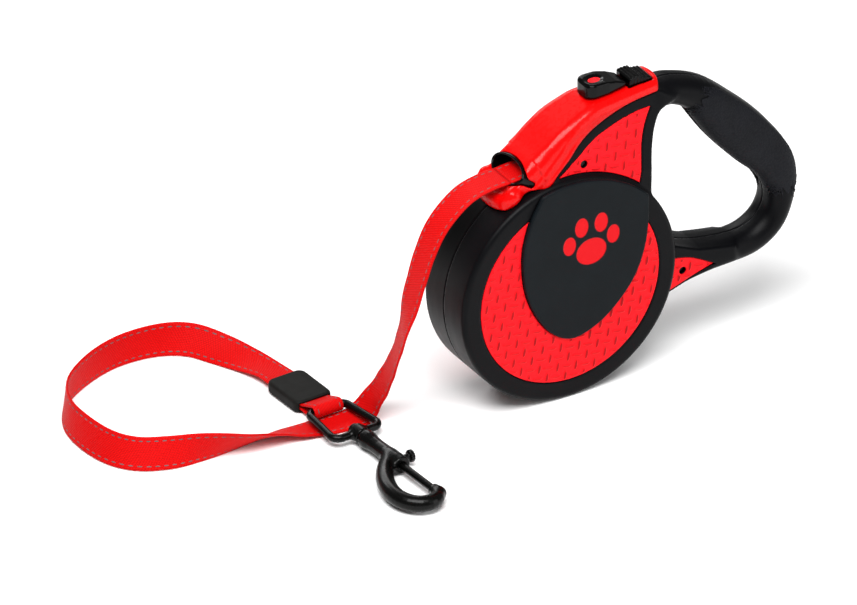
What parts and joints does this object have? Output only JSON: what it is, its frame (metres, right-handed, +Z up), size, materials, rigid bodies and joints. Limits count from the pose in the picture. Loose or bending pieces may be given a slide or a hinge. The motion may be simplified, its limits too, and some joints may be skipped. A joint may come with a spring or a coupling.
{
  "type": "retractable leash",
  "caption": "Hand-held retractable tape leash: spring reel in a round housing with a closed grip, thumb brake and lock, webbing tape ending in a swivel snap hook.",
  "frame": {"origin": "middle of the hand grip, where a hand holds the leash", "axes": "+X from the drum towards the grip, +Y out of the back cover, +Z up; the free tape lies on the level of the drum's lowest point"},
  "size_m": [0.4177, 0.2315, 0.1856],
  "materials": {
    "black_plastic": "fine satin moulding texture",
    "gloss_black": "polished moulding",
    "soft_grip": "soft-touch, fine leather-like grain",
    "red_panel": "matt, with raised tread-plate dashes",
    "red_gloss": "high gloss",
    "webbing": "woven nylon with two rows of reflective stitches",
    "black_rubber": "matt",
    "black_steel": "black, smooth, semi-gloss",
    "steel": "bright",
    "acetal": "natural white, satin"
  },
  "bodies": {
    "housing": {"front_shell": "black_plastic", "back_shell": "black_plastic", "front_cover": "black_plastic", "back_cover": "black_plastic", "front_crescent_panel": "red_panel", "back_crescent_panel": "red_panel", "front_upper_panel": "red_panel", "back_upper_panel": "red_panel", "front_strut_panel": "red_panel", "back_strut_panel": "red_panel", "front_grip": "soft_grip", "back_grip": "soft_grip", "top_cover": "red_gloss", "mouth_guide": "gloss_black", "axle": "steel", "pawl_pin": "steel", "screw_wing": "steel", "screw_strut": "steel", "screw_drum_left": "steel", "screw_drum_low": "steel", "screw_grip_rear": "steel", "tape_lead": "webbing", "tape": "webbing", "tape_fold": "webbing", "sleeve": "black_rubber", "button_spring": "steel"},
    "reel": {"spool": "acetal", "spool_flange": "acetal", "spring_lid": "acetal", "wound_tape": "webbing", "power_spring": "steel"},
    "lock": {"lock_slider": "gloss_black", "lock_mark": "red_panel"},
    "brake": {"brake_button": "gloss_black"},
    "pawl": {"brake_pawl": "steel"},
    "ring": {"clip_ring": "black_steel"},
    "snap": {"hook": "black_steel", "swivel_pin": "black_steel", "bolt_spring": "steel"},
    "gate": {"bolt": "black_steel"}
  },
  "joints": [
    {"name": "reel_spin", "type": "hinge", "parent": "housing", "child": "reel", "pos_m": [-0.113, 0, -0.0665], "axis": [0, 1, 0], "continuous": true},
    {"name": "lock_slide", "type": "slide", "parent": "housing", "child": "lock", "axis": [-0.9969, 0, -0.0788], "range_m": [0, 0.005]},
    {"name": "brake_press", "type": "slide", "parent": "housing", "child": "brake", "axis": [0, 0, -1], "range_m": [0, 0.004], "stiffness_N_per_m": 800, "springref_m": -0.003, "deforming": ["button_spring"]},
    {"name": "pawl_turn", "type": "hinge", "parent": "housing", "child": "pawl", "pos_m": [-0.095, -0.0099, 0.0205], "axis": [0, 1, 0], "range_deg": [0, 7.3]},
    {"name": "ring_swing", "type": "hinge", "parent": "housing", "child": "ring", "pos_m": [-0.24, 0.03, -0.1296], "axis": [-0.9986, -0.0523, 0], "range_deg": [0, 150]},
    {"name": "hook_swivel", "type": "hinge", "parent": "ring", "child": "snap", "pos_m": [-0.23833, -0.00196, -0.1296], "axis": [0.0523, -0.9986, 0], "continuous": true},
    {"name": "bolt_slide", "type": "slide", "parent": "snap", "child": "gate", "axis": [-0.0523, 0.9986, 0], "range_m": [0, 0.01], "stiffness_N_per_m": 300, "springref_m": -0.005}
  ],
  "couplings": [
    {"joint": "pawl_turn", "follows": "brake_press", "rad_per_m": 31.5}
  ]
}
